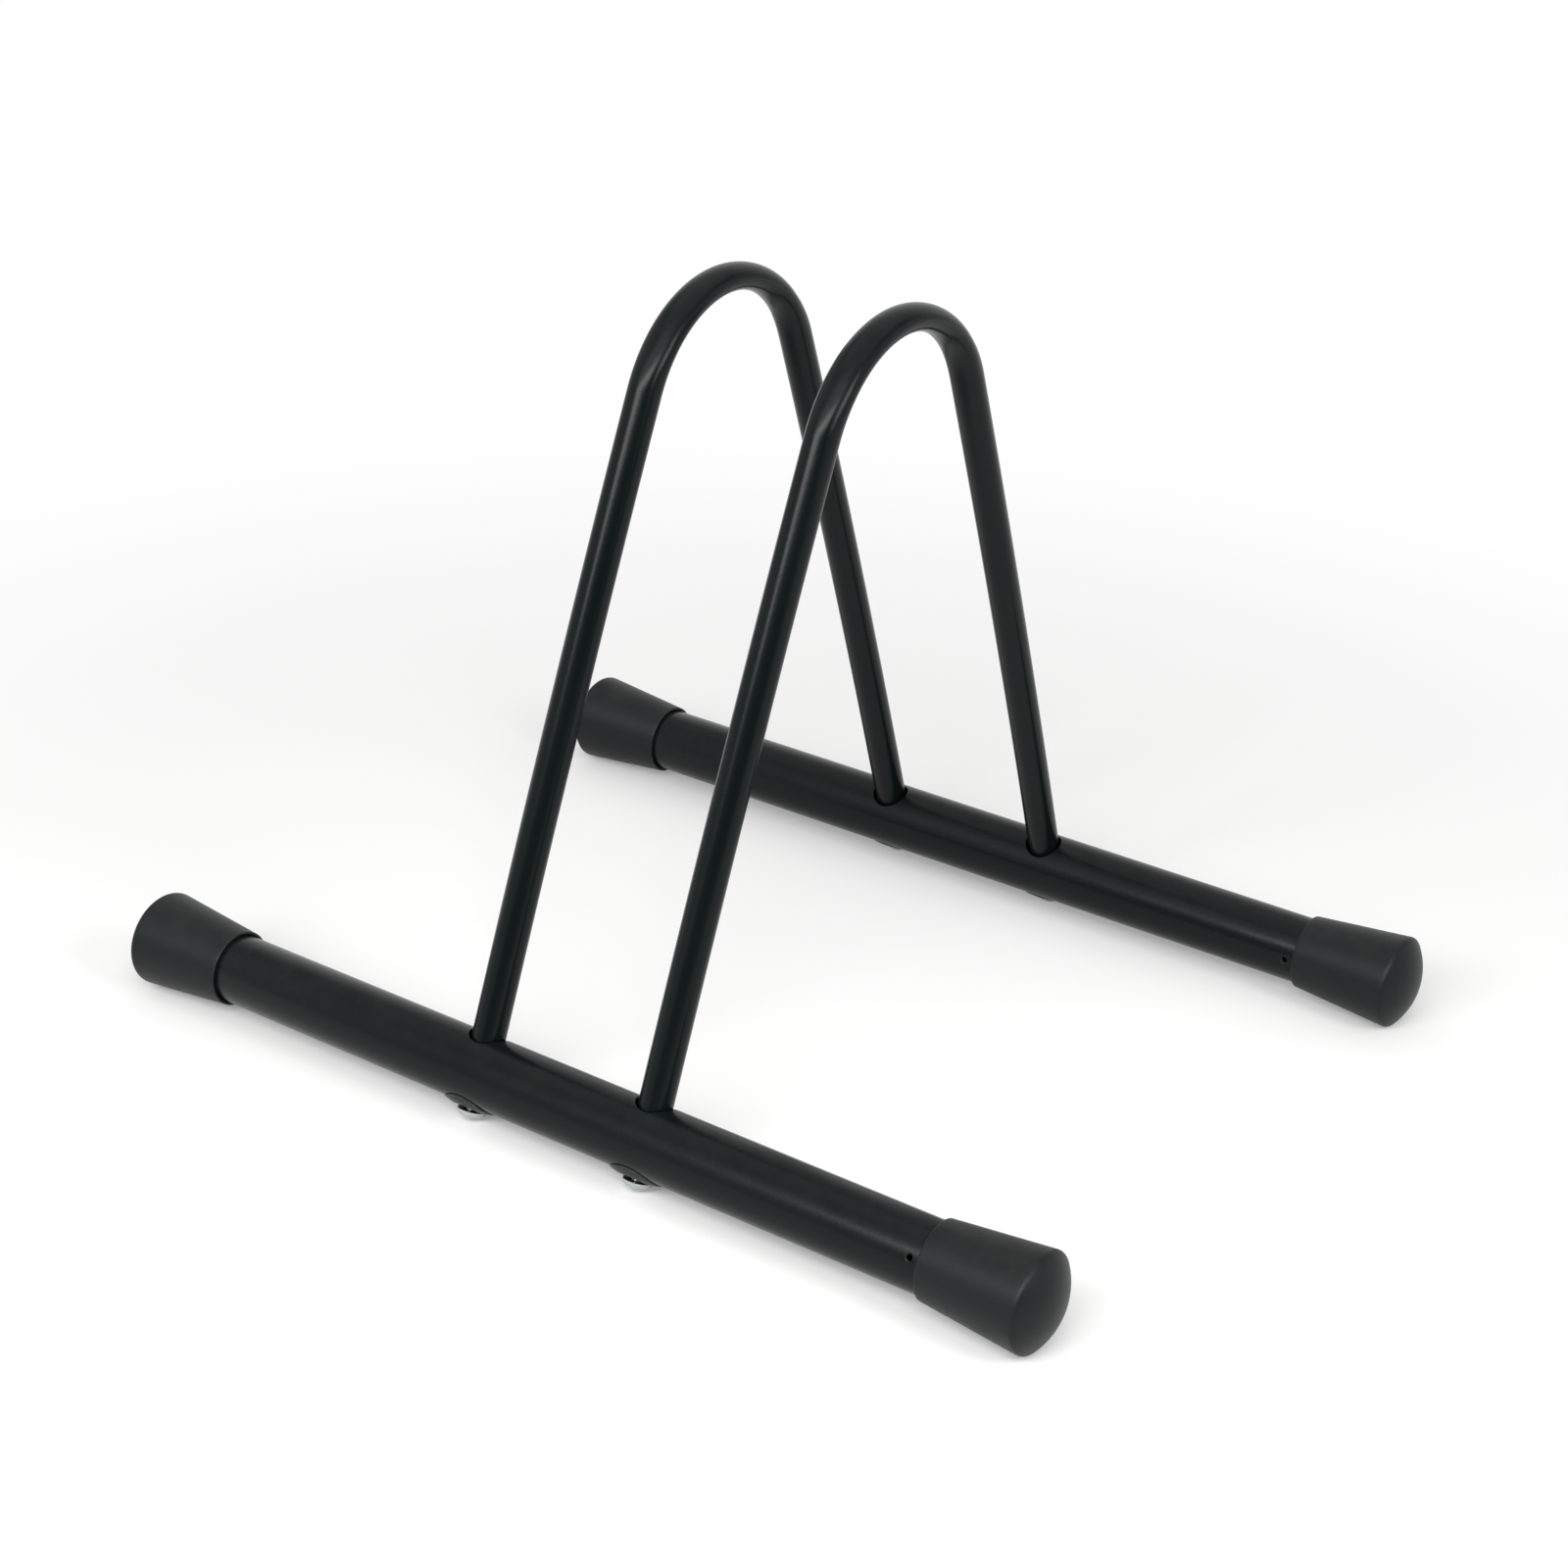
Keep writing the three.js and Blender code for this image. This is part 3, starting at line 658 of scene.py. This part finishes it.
dome_rise = HEAD_HEIGHT - HEAD_EDGE
dome_run = HEAD_RADIUS - HEAD_TOP_RADIUS
head_dome_radius = (dome_run ** 2 + dome_rise ** 2) / (2 * dome_rise)
head_dome_centre = (head_dome_radius - HEAD_HEIGHT, HEAD_TOP_RADIUS)
head_dome_turn = asin(dome_run / head_dome_radius)

for end, side, place, x in FEET:
    screw = bmesh.new()
    outline = screw.verts.new((SCREW_LENGTH, 0, 0))
    outline = line_to(screw, outline, SCREW_LENGTH, SCREW_POINT)
    outline = line_to(screw, outline, SCREW_LENGTH - POINT_CHAMFER, SCREW_ROOT)
    crests = int(SCREW_LENGTH / THREAD_PITCH) - 2
    for k in range(crests):
        crest = SCREW_LENGTH - (k + 1) * THREAD_PITCH
        outline = line_to(screw, outline, crest + THREAD_FLAT, SCREW_CREST)
        outline = line_to(screw, outline, crest - THREAD_FLAT, SCREW_CREST)
        outline = line_to(screw, outline, crest - THREAD_FLANK, SCREW_ROOT)
    outline = line_to(screw, outline, NECK, SCREW_ROOT)
    outline = line_to(screw, outline, 0, SCREW_CREST)
    outline = line_to(screw, outline, 0, HEAD_RADIUS - HEAD_CHAMFER)
    outline = line_to(screw, outline, -HEAD_CHAMFER, HEAD_RADIUS)
    outline = line_to(screw, outline, -HEAD_EDGE, HEAD_RADIUS)
    arc_from(screw, outline, head_dome_centre, -head_dome_turn, HEAD_DOME_STEPS)
    turn_on_axis(screw, SCREW_SIDES)
    top = [e for e in screw.edges if e.is_boundary]
    facing = Matrix.Translation((-HEAD_HEIGHT, 0, 0)) @ Matrix.Rotation(pi / 2, 4, "Y")
    hexagon = bmesh.ops.create_circle(screw, segments=6, radius=SOCKET_CORNER, matrix=facing)
    sides = list(dict.fromkeys(e for v in hexagon["verts"] for e in v.link_edges))
    bmesh.ops.subdivide_edges(screw, edges=sides, cuts=SOCKET_SIDE_CUTS)
    socket = [e for e in screw.edges if e.is_wire]
    bmesh.ops.bridge_loops(screw, edges=top + socket)
    for depth, width in ((SOCKET_DEPTH, 1), (SOCKET_DEPTH + SOCKET_CONE, 0)):
        grow_edges(screw, [e for e in screw.edges if e.is_boundary],
                   lambda co: Vector((depth - HEAD_HEIGHT, co.y * width, co.z * width)))
    bmesh.ops.remove_doubles(screw, verts=screw.verts, dist=SAME_POINT)
    bmesh.ops.recalc_face_normals(screw, faces=screw.faces)
    mouth = [e for e in screw.edges if e.calc_face_angle() > radians(50)
             and all(v.co.x < IN_PLACE - HEAD_HEIGHT for v in e.verts)]
    bmesh.ops.bevel(screw, geom=mouth, offset=SOCKET_ROUNDING, offset_type="OFFSET", segments=2,
                    profile=0.5, affect="EDGES", material=-1, clamp_overlap=True)
    lay_up_leg(screw, -SCREW_HEAD_DROP)
    stand_in_foot(screw, side, x)
    name = f"hoop_screw_{end}_{place}"
    finish_piece(screw, f"{name}_socketed", ZINC_PLATE, name)

# ------------------------------------------------------------------------------- arc washers
# Four round steel washers, stamped with a bevelled rim, curved to sit round the base tube and
# blackened. Each spreads its screw's pull over the coated tube.

WASHER_CURVE = 13.0 * MM        # radius that the washer is curved to, just over the tube's
WASHER_RADIUS = 10.5 * MM
WASHER_CROWN = 7 * MM           # radius of its flat top, inside the bevel
WASHER_THICKNESS = 1 * MM       # outside of that curve
WASHER_EDGE = 0.15 * MM         # what the bevel leaves of it at the rim
WASHER_SEAT = 0.27 * MM         # inside of that curve, down to just clear of the tube
WASHER_ROUNDING = 0.09 * MM
WASHER_CUTS = 6                 # across each face, so that it curves smoothly
WASHER_SIDES = 72
BLACKING_DARKER = (0.006, 0.009, 0.009)
BLACKING_PALER = (0.010, 0.013, 0.013)
BLACKING_RUBBED = (0.10, 0.10, 0.10)
BLACKING_ROUGHNESS = (0.28, 0.38)


def make_blackened_steel():
    """Steel blackened in a bath, dull, and paler where the bevel's corners are rubbed."""
    finish, tree, shader, place, corner = new_finish("black_washer_finish")
    grain = place_group(tree, SKIN_GRAIN, Vector=place, Grains_per_metre=3000, Fineness=2.5)
    rub = place_group(tree, CORNER_RUB, Vector=place, Corner=corner, Amount=0.5)["Rub"]
    black = blend_colours(tree, grain["Mottle"], BLACKING_DARKER, BLACKING_PALER)
    rubbed = blend_colours(tree, rub, black, BLACKING_RUBBED)
    tree.links.new(rubbed, shader.inputs["Base Color"])
    tree.links.new(spread(tree, grain["Mottle"], *BLACKING_ROUGHNESS), shader.inputs["Roughness"])
    shader.inputs["Specular IOR Level"].default_value = 0.22
    raise_skin(tree, shader, grain["Height"], depth=0.015 * MM, strength=0.5)
    return finish


BLACKENED_STEEL = make_blackened_steel()

for end, side, place, x in FEET:
    washer = bmesh.new()
    outline = [washer.verts.new((along, 0, out)) for along, out in (
        (-WASHER_SEAT, SCREW_HOLE), (-WASHER_SEAT, WASHER_RADIUS), (WASHER_EDGE, WASHER_RADIUS),
        (WASHER_THICKNESS, WASHER_CROWN), (WASHER_THICKNESS, SCREW_HOLE))]
    for a, b in zip(outline, outline[1:] + outline[:1]):
        washer.edges.new((a, b))
    bmesh.ops.bevel(washer, geom=outline, offset=WASHER_ROUNDING, offset_type="OFFSET",
                    segments=2, profile=0.5, affect="VERTICES", material=-1)
    long_edges = [e for e in washer.edges if e.calc_length() > 2 * MM]
    bmesh.ops.subdivide_edges(washer, edges=long_edges, cuts=WASHER_CUTS)
    turn_on_axis(washer, WASHER_SIDES)
    for v in washer.verts:
        wrap = v.co.z / WASHER_CURVE
        radius = WASHER_CURVE + v.co.x
        v.co = Vector((v.co.y, radius * sin(wrap), -radius * cos(wrap)))
    bmesh.ops.recalc_face_normals(washer, faces=washer.faces)
    stand_in_foot(washer, side, x)
    name = f"arc_washer_{end}_{place}"
    finish_piece(washer, f"{name}_curved", BLACKENED_STEEL, name)

# ------------------------------------------------------------------------------- inserts
# Four turned steel plugs with a threaded bore, pressed flush into the ends of the hoop legs.
# Two grooves round each one take the glue that helps to hold it.

INSERT_RADIUS = 4.7 * MM
INSERT_LENGTH = 14 * MM
INSERT_CHAMFER = 0.6 * MM
INSERT_BORE = 3.3 * MM          # radius at its thread's crests
THREAD_DEPTH = 0.3 * MM
GROOVES = (4.5 * MM, 8.5 * MM)  # from its foot to the start of each
GROOVE_DEPTH = 0.35 * MM
GROOVE_PROFILE = ((0, 0), (0.2 * MM, 1), (0.8 * MM, 1), (1 * MM, 0))    # along, and how deep
INSERT_SIDES = 48
STEEL_DARKER = (0.40, 0.39, 0.37)
STEEL_PALER = (0.50, 0.48, 0.45)
STEEL_RUBBED = (0.62, 0.61, 0.58)
STEEL_ROUGHNESS = (0.28, 0.42)


def make_turned_steel():
    """Bare free-cutting steel, with the fine grain that turning leaves."""
    finish, tree, shader, place, corner = new_finish("insert_steel_turned")
    grain = place_group(tree, SKIN_GRAIN, Vector=place, Grains_per_metre=3600, Fineness=3)
    rub = place_group(tree, CORNER_RUB, Vector=place, Corner=corner, Amount=0.6)["Rub"]
    steel = blend_colours(tree, grain["Mottle"], STEEL_DARKER, STEEL_PALER)
    rubbed = blend_colours(tree, rub, steel, STEEL_RUBBED)
    tree.links.new(rubbed, shader.inputs["Base Color"])
    tree.links.new(spread(tree, grain["Mottle"], *STEEL_ROUGHNESS), shader.inputs["Roughness"])
    shader.inputs["Metallic"].default_value = 1
    raise_skin(tree, shader, grain["Height"], METAL_GRAIN, strength=0.5)
    return finish


TURNED_STEEL = make_turned_steel()

for end, side, place, x in FEET:
    insert = bmesh.new()
    first = outline = insert.verts.new((0, 0, INSERT_BORE + THREAD_DEPTH))
    outline = line_to(insert, outline, 0, INSERT_RADIUS - INSERT_CHAMFER)
    outline = line_to(insert, outline, INSERT_CHAMFER, INSERT_RADIUS)
    for groove in GROOVES:
        for along, deep in GROOVE_PROFILE:
            outline = line_to(insert, outline, groove + along, INSERT_RADIUS - deep * GROOVE_DEPTH)
    outline = line_to(insert, outline, INSERT_LENGTH - INSERT_CHAMFER, INSERT_RADIUS)
    outline = line_to(insert, outline, INSERT_LENGTH, INSERT_RADIUS - INSERT_CHAMFER)
    outline = line_to(insert, outline, INSERT_LENGTH, INSERT_BORE + THREAD_DEPTH)
    for k in range(int(INSERT_LENGTH / THREAD_PITCH) - 1):
        crest = INSERT_LENGTH - (k + 1) * THREAD_PITCH
        outline = line_to(insert, outline, crest + THREAD_FLAT, INSERT_BORE)
        outline = line_to(insert, outline, crest - THREAD_FLAT, INSERT_BORE)
        outline = line_to(insert, outline, crest - THREAD_FLANK, INSERT_BORE + THREAD_DEPTH)
    insert.edges.new((outline, first))
    turn_on_axis(insert, INSERT_SIDES)
    lay_up_leg(insert, -LEG_END_DROP)
    stand_in_foot(insert, side, x)
    name = f"threaded_insert_{end}_{place}"
    finish_piece(insert, f"{name}_turned", TURNED_STEEL, name)

# ------------------------------------------------------------------------------- stage
# A plain pale floor that fades to white away from the rack, and is clear from below. A long soft
# lamp stands in front and a smaller one on the right. The room that the tubes mirror is white
# behind, on the left, overhead and on the right, and dark elsewhere, which draws their streaks.

FLOOR_HALF = 1.7
FLOOR_COLOUR = (0.86, 0.86, 0.855)
FADE_START = 0.14               # from the middle of the rack
FADE_END = 0.7
FLOOR_SEEN = 0.15               # what is added to the floor for the camera
FLOOR_MIRRORED = 0.06           # and for what mirrors it
ROOM_LEVEL = 0.55               # of the light that it gives all round
ROOM_DARK = 0.08                # of its dark parts, where they are mirrored
# Its white parts: the direction, the cosines of the angles from it where the white starts and
# where it is full, and how bright it is.
ROOM_WHITES = (
    ((-0.35, 0.9, 0), 0.3, 0.9, 0.95),
    ((-0.85, -0.5, 0.1), 0.45, 0.85, 0.75),
    ((0, 0.1, 1), 0.5, 0.9, 0.9),
    ((0.85, 0.45, 0), 0.7, 0.95, 0.9),
)
# The wide glow round the front lamp, which ends at the lamp's lower edge.
GLOW_MIDDLE = ((0.13, -0.80, 0.60), cos(radians(48)), cos(radians(14)))
GLOW_EDGE = ((-0.278, 0.307, 0.910), 0, 0.15)
GLOW_LEVEL = 2.4
RACK_MIDDLE = Vector((0, 0, 0.12))


def make_floor():
    """The floor, a sliver below the ferrules so that the two don't meet."""
    floor = bmesh.new()
    bmesh.ops.create_grid(floor, x_segments=1, y_segments=1, size=FLOOR_HALF)
    bmesh.ops.translate(floor, verts=floor.verts, vec=(0, 0, -0.2 * MM))
    mesh = bpy.data.meshes.new("floor")
    floor.to_mesh(mesh)
    floor.free()
    finish = bpy.data.materials.new("floor_pale")
    finish.use_nodes = True
    tree = finish.node_tree
    shader = tree.nodes["Principled BSDF"]
    shader.inputs["Base Color"].default_value = (*FLOOR_COLOUR, 1)
    shader.inputs["Roughness"].default_value = 0.9
    shader.inputs["Specular IOR Level"].default_value = 0
    place = tree.nodes.new("ShaderNodeTexCoord").outputs["Object"]
    length = tree.nodes.new("ShaderNodeVectorMath")
    length.operation = "LENGTH"
    tree.links.new(place, length.inputs[0])
    fade = tree.nodes.new("ShaderNodeMapRange")
    fade.interpolation_type = "SMOOTHSTEP"
    fade.inputs["From Min"].default_value = FADE_START
    fade.inputs["From Max"].default_value = FADE_END
    tree.links.new(length.outputs["Value"], fade.inputs["Value"])
    rays = tree.nodes.new("ShaderNodeLightPath")
    shader.inputs["Emission Color"].default_value = (1, 1, 1, 1)
    added = math_node(tree, "MULTIPLY", rays.outputs["Is Camera Ray"], FLOOR_SEEN)
    added = math_node(tree, "MULTIPLY_ADD", rays.outputs["Is Glossy Ray"], FLOOR_MIRRORED, added)
    tree.links.new(added, shader.inputs["Emission Strength"])
    seen = math_node(tree, "MAXIMUM", rays.outputs["Is Camera Ray"], rays.outputs["Is Glossy Ray"])
    white = tree.nodes.new("ShaderNodeEmission")
    mix = tree.nodes.new("ShaderNodeMixShader")
    tree.links.new(math_node(tree, "MULTIPLY", fade.outputs["Result"], seen), mix.inputs["Fac"])
    tree.links.new(shader.outputs["BSDF"], mix.inputs[1])
    tree.links.new(white.outputs["Emission"], mix.inputs[2])
    below = tree.nodes.new("ShaderNodeNewGeometry").outputs["Backfacing"]
    clear = tree.nodes.new("ShaderNodeBsdfTransparent")
    open_below = tree.nodes.new("ShaderNodeMixShader")
    tree.links.new(math_node(tree, "MULTIPLY", below, rays.outputs["Is Camera Ray"]),
                   open_below.inputs["Fac"])
    tree.links.new(mix.outputs["Shader"], open_below.inputs[1])
    tree.links.new(clear.outputs["BSDF"], open_below.inputs[2])
    tree.links.new(open_below.outputs["Shader"], tree.nodes["Material Output"].inputs["Surface"])
    mesh.materials.append(finish)
    made = bpy.data.objects.new("floor", mesh)
    bpy.context.scene.collection.objects.link(made)


def make_room():
    """The room: even light all round, its white and dark parts for what mirrors them, and plain
    white for the camera."""
    world = bpy.data.worlds.new("studio")
    world.use_nodes = True
    tree = world.node_tree
    background = tree.nodes["Background"]
    rays = tree.nodes.new("ShaderNodeLightPath")
    toward = tree.nodes.new("ShaderNodeTexCoord").outputs["Generated"]

    def side_of_room(direction, start, end):
        """From 0 to 1 as the cosine of the angle from a direction goes from start to end."""
        dot = tree.nodes.new("ShaderNodeVectorMath")
        dot.operation = "DOT_PRODUCT"
        tree.links.new(toward, dot.inputs[0])
        dot.inputs[1].default_value = Vector(direction).normalized()
        ramp = tree.nodes.new("ShaderNodeMapRange")
        ramp.interpolation_type = "SMOOTHSTEP"
        ramp.inputs["From Min"].default_value = start
        ramp.inputs["From Max"].default_value = end
        tree.links.new(dot.outputs["Value"], ramp.inputs["Value"])
        return ramp.outputs["Result"]

    lit = ROOM_DARK
    for direction, start, end, bright in ROOM_WHITES:
        side = math_node(tree, "MULTIPLY", side_of_room(direction, start, end), bright)
        lit = math_node(tree, "MAXIMUM", lit, side)
    glow = math_node(tree, "MULTIPLY", side_of_room(*GLOW_MIDDLE), side_of_room(*GLOW_EDGE))
    lit = math_node(tree, "MAXIMUM", lit, math_node(tree, "MULTIPLY", glow, GLOW_LEVEL))
    level = math_node(tree, "MULTIPLY", rays.outputs["Is Diffuse Ray"], ROOM_LEVEL)
    shiny = math_node(tree, "MULTIPLY", rays.outputs["Is Glossy Ray"], lit)
    total = math_node(tree, "MAXIMUM", math_node(tree, "MAXIMUM", level, shiny),
                      rays.outputs["Is Camera Ray"])
    tree.links.new(total, background.inputs["Strength"])
    background.inputs["Color"].default_value = (1, 1, 1, 1)
    bpy.context.scene.world = world


def make_softbox(name, bearing, height, distance, size, roll, radiance):
    """A soft lamp of the given radiance, which its power follows from. Its bearing, height and
    roll are in degrees, the bearing measured from the right towards the back."""
    bearing, height, roll = radians(bearing), radians(height), radians(roll)
    lamp = bpy.data.lights.new(name, "AREA")
    lamp.shape = "RECTANGLE"
    lamp.size, lamp.size_y = size
    lamp.energy = radiance * pi * lamp.size * lamp.size_y
    toward = Vector((cos(height) * cos(bearing), cos(height) * sin(bearing), sin(height)))
    made = bpy.data.objects.new(name, lamp)
    made.location = RACK_MIDDLE + toward * distance
    facing = (-toward).to_track_quat("-Z", "Y") @ Quaternion((0, 0, 1), roll)
    made.rotation_euler = facing.to_euler()
    made.visible_camera = False
    bpy.context.scene.collection.objects.link(made)


make_floor()
make_room()
make_softbox("softbox_front", bearing=-79, height=36, distance=1.0, size=(1.05, 0.28), roll=24,
             radiance=8.5)
make_softbox("softbox_right", bearing=-10, height=30, distance=1.2, size=(0.36, 0.50), roll=0,
             radiance=7)

# ------------------------------------------------------------------------------- camera
# A 70 mm lens, a metre away in front of the rack on the right, looking down on it with a slight
# roll.

lens = bpy.data.cameras.new("camera")
lens.lens = 70.43
lens.sensor_width = 36
camera = bpy.data.objects.new("camera", lens)
camera.location = (0.5588, -0.8300, 0.5637)
camera.rotation_euler = (radians(64.619), radians(-2.121), radians(35.104))
bpy.context.scene.collection.objects.link(camera)
bpy.context.scene.camera = camera
bpy.context.scene.view_settings.view_transform = "Standard"
